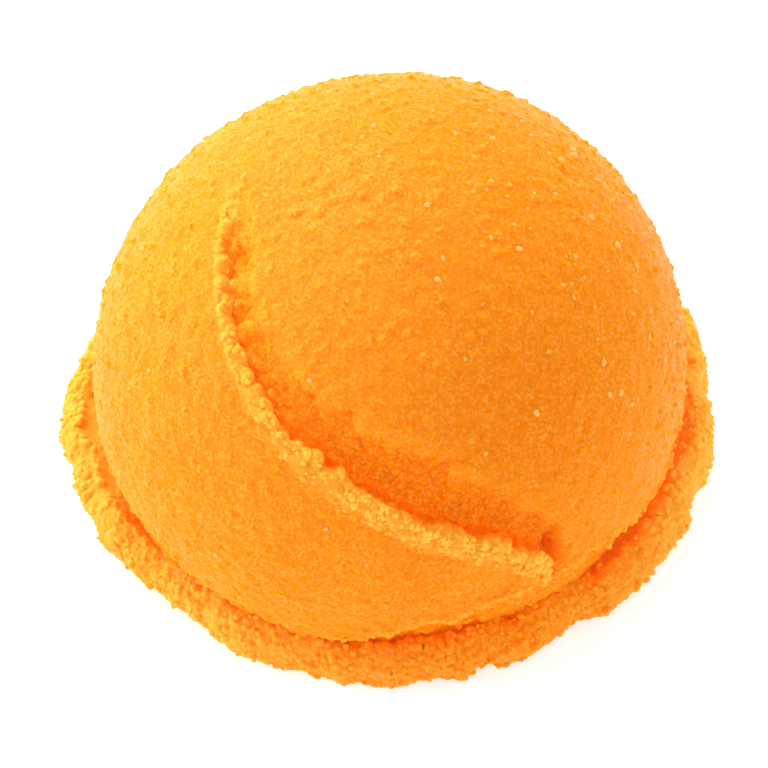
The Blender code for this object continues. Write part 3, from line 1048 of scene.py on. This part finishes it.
def mark_ball(item, radius):
    """Writes the shares that relief, colour and grains follow, from where each point lies.

    rough_share is broken surface, deep_share painted shade (a deeper orange in the hollow, under the
    edge and on a patch on the front right), frost_share pale ice with painted light on the upper left,
    loose_share skin under loose grains and glow_share a painted glow in crevices.  lip_share,
    edge_share, skin_share and crystal_share say how thickly each kind of loose grain lies.
    """
    mesh = item.data
    points = mesh_points(mesh) - np.array((0.0, 0.0, BALL_HEIGHT))
    reach = np.linalg.norm(points, axis=1)
    ways = points / reach[:, None]
    distance, turn = lip_distance(ways, radius)
    azimuth, latitude = azimuth_latitude(ways)
    width = hollow_size(turn, radius)[1]
    sunk = radius + ball_offset(ways, radius) - reach
    near = smooth_step((HOLLOW_GRAINS_REACH * width - distance) / (0.5 * width))
    near = near * smooth_step((distance + 0.003) / 0.001)
    hollow = near * smooth_step(sunk / HOLLOW_SUNK) * fold_strength(turn)
    crack = smooth_step((CRACK_REACH - distance) / 0.0012) * smooth_step(sunk / CRACK_SUNK)
    crack = crack * near * fold_strength(turn)
    below = smooth_step((edge_latitude(azimuth) - latitude) / 3.0)
    lip = lip_band(ways, radius) * smooth_step(1.0 - sunk / 0.0016)
    edge = edge_band(ways)
    # Painted shade on the front right, the side turned away from the key lamp.
    shaded = PAINTED_SHADE_MOST * near_spot(ways, PAINTED_SHADE_SPOT, PAINTED_SHADE_SPREAD)
    # Painted light: the ball's upper left, towards the key lamp, is paler.
    frost_and_light = PAINTED_LIGHT_MOST * near_spot(ways, PAINTED_LIGHT_SPOT, PAINTED_LIGHT_SPREAD) * (1.0 - hollow)
    set_attribute(mesh, "rough_share", np.clip(0.8 * hollow + lip + edge + below, 0.0, 1.0))
    # Painted shade: a deeper orange in the hollow, under the ball's edge and on the patch on the front
    # right.
    deep_and_shade = 0.9 * hollow * lip_growth(turn) + 0.5 * below * (1.0 - edge) + shaded
    set_attribute(mesh, "deep_share", np.clip(deep_and_shade, 0.0, 1.0))
    # Pale ice on the lip and the edge, plus the painted light above.
    set_attribute(mesh, "frost_share", np.clip(1.2 * lip + 0.45 * edge + frost_and_light, 0.0, 1.2))
    clumps = 0.35 + 0.65 * smooth_step(0.6 + 0.8 * wander(np.radians(turn) * radius, 0.0021, 51))
    outside = smooth_step(1.0 - sunk / 0.0007) * smooth_step((0.0006 - distance) / 0.0004)
    outside = outside * lip_growth(turn)
    set_attribute(mesh, "lip_share", lip * clumps * outside)
    set_attribute(mesh, "edge_share", edge)
    set_attribute(mesh, "loose_share", np.maximum(lip * outside, np.maximum(0.6 * edge, below)))
    # Painted glow under the ball's edge, along that edge and in the foot of the hollow.
    set_attribute(mesh, "glow_share", np.clip(below + 0.25 * edge + 0.8 * crack, 0.0, 1.0))
    open_skin = (1.0 - hollow) * (1.0 - below) * (1.0 - lip)
    crystals = np.clip(ways @ direction(*CRYSTAL_SPOT), 0.0, 1.0) ** 4
    set_attribute(mesh, "skin_share", open_skin * (0.10 + 0.25 * crystals))
    set_attribute(mesh, "crystal_share", open_skin * (0.02 + 0.60 * crystals))


def mark_skirt(item, mean_radius):
    """Writes the same shares on the skirt, with rim_share for the grains on its rim."""
    mesh = item.data
    points = mesh_points(mesh)
    azimuth = np.arctan2(points[:, 1], points[:, 0])
    degrees = np.degrees(azimuth)
    reach = np.hypot(points[:, 0], points[:, 1])
    inside = skirt_radius(azimuth, mean_radius) - SKIRT_CREST_WIDTH - reach
    trench = smooth_step(inside / SKIRT_TRENCH_SLOPE)
    gap = smooth_step(1.4 * gap_share(degrees) - 0.4)
    low = smooth_step((0.0004 - points[:, 2]) / 0.0004)
    left = smooth_step(1.5 - np.abs(angle_between(degrees, 180.0)) / 50.0)
    outer = smooth_step(0.6 - inside / 0.0016)
    kept = (1.0 - trench) * (1.0 - left) + outer * left
    patches = 0.45 + 0.55 * smooth_step(0.5 + wander(azimuth * mean_radius, 0.0026, 52))
    # Pale ice and painted light on the rim, by azimuth.
    frost_and_light = follow(SKIRT_FROST_AND_LIGHT_LINE, degrees) * (1.0 - 0.8 * trench * gap)
    set_attribute(mesh, "rough_share", 0.35 + 0.65 * (1.0 - trench))
    # Painted shade: a deeper orange in the trench where the gap is widest.
    set_attribute(mesh, "deep_share", np.clip(0.5 * trench * gap, 0.0, 1.0))
    set_attribute(mesh, "frost_share", frost_and_light)
    set_attribute(mesh, "rim_share", 0.60 * kept * patches * (1.0 - low))
    set_attribute(mesh, "loose_share", np.maximum(0.25 * kept, trench))
    # Painted glow in the trench.
    set_attribute(mesh, "glow_share", 0.6 * trench)


# ---- Operators -------------------------------------------------------------------------------

class SORBET_OT_ball(bpy.types.Operator):
    """Build the ball with its folded leaf, grained lip and frozen relief"""

    bl_idname = "sorbet.ball"
    bl_label = "Ball and Leaf"

    def execute(self, context):
        sizes = context.scene.sorbet_sizes
        item = ball_skin("scoop_ball", sizes.ball_radius)
        run_tree(item, shared_grain_tree(), {
            "Spacing": 0.78 * sizes.grain, "Smallest": 0.70 * sizes.grain,
            "Largest": 1.20 * sizes.grain, "Sink": 0.24 * sizes.grain, "Clump Size": 0.0020,
            "Clump Height": 0.0006, "Unevenness": 0.0002, "Facets": 2, "Seed": 3,
            "Keep Surface": True})
        run_tree(item, shared_grain_tree(), {
            "Share": "knob_share", "Spacing": 0.0011, "Smallest": 0.0006, "Largest": 0.0010,
            "Sink": 0.00014, "Clump Size": 0.0020, "Clump Height": 0.0002,
            "Unevenness": 0.0002, "Facets": 2, "Seed": 4, "Keep Surface": True})
        fuse(item, BALL_VOXEL)
        mark_ball(item, sizes.ball_radius)
        run_tree(item, relief_tree(), {})
        settle(item)
        thin(item)
        mark_ball(item, sizes.ball_radius)
        wear(item, sorbet_material("churned orange sorbet", context.scene.sorbet_colours, 0.0, BODY_DEPTH))
        piece(item)
        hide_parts(NODE)
        return {"FINISHED"}


class SORBET_OT_skirt(bpy.types.Operator):
    """Build the ragged skirt that the disher squeezed out"""

    bl_idname = "sorbet.skirt"
    bl_label = "Skirt"

    def execute(self, context):
        sizes = context.scene.sorbet_sizes
        item = skirt_skin("scoop_skirt", sizes.skirt_radius)
        run_tree(item, shared_grain_tree(), {
            "Spacing": 0.80 * sizes.grain, "Smallest": 0.75 * sizes.grain,
            "Largest": 1.25 * sizes.grain, "Sink": 0.08 * sizes.grain, "Clump Size": 0.0020,
            "Clump Height": 0.0013, "Unevenness": 0.0002, "Facets": 2, "Seed": 8,
            "Keep Surface": True})
        fuse(item, SKIRT_VOXEL)
        mark_skirt(item, sizes.skirt_radius)
        run_tree(item, relief_tree(), {"Knob Height": 0.0001, "Rough Size": 0.0026,
                                       "Rough Height": 0.0006, "Bead Height": 0.00018})
        settle(item)
        rest_on_floor(item)
        thin(item)
        mark_skirt(item, sizes.skirt_radius)
        wear(item, sorbet_material("squeezed-out sorbet", context.scene.sorbet_colours, 0.0, BODY_DEPTH))
        piece(item)
        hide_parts(NODE)
        return {"FINISHED"}


class SORBET_OT_lip_grains(bpy.types.Operator):
    """Scatter pale ice grains along the torn lip and the ball's lower edge"""

    bl_idname = "sorbet.lip_grains"
    bl_label = "Lip and Edge Grains"

    def execute(self, context):
        grain = context.scene.sorbet_sizes.grain
        surface = bpy.data.objects["scoop_ball"]
        pale = sorbet_material("frosted lip grains", context.scene.sorbet_colours, 0.36, GRAIN_DEPTH,
                               GRAIN_PAINTED_GLOW)
        scatter(surface, "lip_grains", 12, {
            "Share": "lip_share", "Spacing": 0.50 * grain, "Smallest": 0.45 * grain,
            "Largest": 1.00 * grain, "Sink": 0.12 * grain, "Clump Size": 0.0014,
            "Clump Height": 0.0007, "Unevenness": 0.00022, "Facets": 2}, pale)
        warm = sorbet_material("edge grains", context.scene.sorbet_colours, 0.04, GRAIN_DEPTH,
                               GRAIN_PAINTED_GLOW)
        scatter(surface, "edge_grains", 15, {
            "Share": "edge_share", "Spacing": 0.68 * grain, "Smallest": 0.60 * grain,
            "Largest": 1.10 * grain, "Sink": 0.0, "Clump Size": 0.0016,
            "Clump Height": 0.0010, "Unevenness": 0.00016, "Facets": 2}, warm)
        return {"FINISHED"}


class SORBET_OT_rim_grains(bpy.types.Operator):
    """Scatter ice grains over the skirt's broken outer face"""

    bl_idname = "sorbet.rim_grains"
    bl_label = "Rim Grains"

    def execute(self, context):
        grain = context.scene.sorbet_sizes.grain
        surface = bpy.data.objects["scoop_skirt"]
        warm = sorbet_material("rim grains", context.scene.sorbet_colours, 0.04, GRAIN_DEPTH,
                               GRAIN_PAINTED_GLOW)
        scatter(surface, "rim_grains", 22, {
            "Share": "rim_share", "Spacing": 0.80 * grain, "Smallest": 0.45 * grain,
            "Largest": 0.95 * grain, "Sink": 0.16 * grain, "Clump Size": 0.0024,
            "Clump Height": 0.0010, "Unevenness": 0.00022, "Facets": 2}, warm)
        return {"FINISHED"}


class SORBET_OT_skin_grains(bpy.types.Operator):
    """Scatter fine frozen grains and a few clear crystals over the ball's skin"""

    bl_idname = "sorbet.skin_grains"
    bl_label = "Skin Grains and Crystals"

    def execute(self, context):
        sizes = context.scene.sorbet_sizes
        surface = bpy.data.objects["scoop_ball"]
        colours = context.scene.sorbet_colours
        fine = sorbet_material("fine skin grains", colours, 0.16, GRAIN_DEPTH)
        scatter(surface, "skin_grains", 32, {
            "Share": "skin_share", "Spacing": 0.00062, "Smallest": 0.00026,
            "Largest": 0.00046, "Sink": 0.00008, "Clump Size": 0.002, "Clump Height": 0.0,
            "Unevenness": 0.00008, "Facets": 1}, fine)
        scatter(surface, "ice_crystals", 41, {
            "Share": "crystal_share", "Spacing": 0.0010, "Smallest": 0.50 * sizes.crystal,
            "Largest": 1.30 * sizes.crystal, "Sink": 0.00018, "Clump Size": 0.002,
            "Clump Height": 0.0, "Unevenness": 0.00034, "Facets": 2},
            crystal_material(colours))
        return {"FINISHED"}


class SORBET_OT_stage(bpy.types.Operator):
    """Build the white sweep, the soft lights and the camera"""

    bl_idname = "sorbet.stage"
    bl_label = "Stage"

    def execute(self, context):
        settings = context.scene.sorbet_stage
        half = 1.5
        points = np.array(((-half, -half, 0.0), (half, -half, 0.0), (half, half, 0.0), (-half, half, 0.0)))
        floor = make_object("floor", points, [(0, 1, 2, 3)])
        wear(floor, floor_material())
        middle = Vector((0.0, 0.0, BALL_HEIGHT))
        self.light("key", middle, Vector((-0.43, -0.03, 0.15)), 0.26, settings.key_power)
        self.light("top", middle, Vector((-0.15, 0.28, 0.32)), 0.30, settings.top_power)
        self.light("side", middle, Vector((0.42, -0.04, 0.16)), 0.26, settings.side_power)
        room = bpy.data.worlds.new("white room")
        room.use_nodes = True
        back = room.node_tree.nodes["Background"]
        back.inputs["Color"].default_value = (1.0, 1.0, 1.0, 1.0)
        back.inputs["Strength"].default_value = settings.room_strength
        context.scene.world = room
        self.camera(context, settings, middle)
        context.scene.view_settings.view_transform = "Standard"
        return {"FINISHED"}

    def light(self, name, target, offset, size, power):
        """A round soft lamp that looks at the target."""
        lamp = bpy.data.lights.new(name, "AREA")
        lamp.shape = "DISK"
        lamp.size = size
        lamp.energy = power
        item = bpy.data.objects.new(name, lamp)
        item.location = target + offset
        item.rotation_euler = (-offset).to_track_quat("-Z", "Y").to_euler()
        bpy.context.scene.collection.objects.link(item)

    def camera(self, context, settings, middle):
        """The camera, above and in front, aimed a little below the ball's middle."""
        lens = bpy.data.cameras.new("camera")
        lens.lens = 100.0
        lens.clip_start = 0.01
        rise = settings.camera_elevation
        right = Vector((1.0, 0.0, 0.0))
        back = Vector((0.0, -math.cos(rise), math.sin(rise)))
        up = back.cross(right)
        item = bpy.data.objects.new("camera", lens)
        aim = middle - right * AIM_LEFT - up * AIM_BELOW
        item.location = aim + back * settings.camera_distance
        item.rotation_euler = (math.pi / 2.0 - rise, 0.0, 0.0)
        context.scene.collection.objects.link(item)
        context.scene.camera = item


class SORBET_PT_panel(bpy.types.Panel):
    """Lists the scoop's settings and pieces"""

    bl_idname = "SORBET_PT_panel"
    bl_label = "Sorbet Scoop"
    bl_space_type = "VIEW_3D"
    bl_region_type = "UI"
    bl_category = "Sorbet"

    def draw(self, context):
        for group in ("sorbet_sizes", "sorbet_colours", "sorbet_stage"):
            settings = getattr(context.scene, group)
            box = self.layout.box()
            for name in settings.__annotations__:
                box.prop(settings, name)
        for operator in OPERATORS:
            self.layout.operator(operator.bl_idname)


GROUPS = {
    "sorbet_sizes": ScoopSizes,
    "sorbet_colours": SorbetColours,
    "sorbet_stage": StageSettings,
}
OPERATORS = (
    SORBET_OT_ball,
    SORBET_OT_skirt,
    SORBET_OT_lip_grains,
    SORBET_OT_rim_grains,
    SORBET_OT_skin_grains,
    SORBET_OT_stage,
)


def register():
    for name, group in GROUPS.items():
        bpy.utils.register_class(group)
        setattr(bpy.types.Scene, name, bpy.props.PointerProperty(type=group))
    for operator in OPERATORS:
        bpy.utils.register_class(operator)
    bpy.utils.register_class(SORBET_PT_panel)


def unregister():
    bpy.utils.unregister_class(SORBET_PT_panel)
    for operator in reversed(OPERATORS):
        bpy.utils.unregister_class(operator)
    for name, group in GROUPS.items():
        delattr(bpy.types.Scene, name)
        bpy.utils.unregister_class(group)


def main():
    """Builds every piece in the order of the panel."""
    register()
    for operator in OPERATORS:
        group, name = operator.bl_idname.split(".")
        getattr(getattr(bpy.ops, group), name)()


if __name__ == "__main__":
    main()
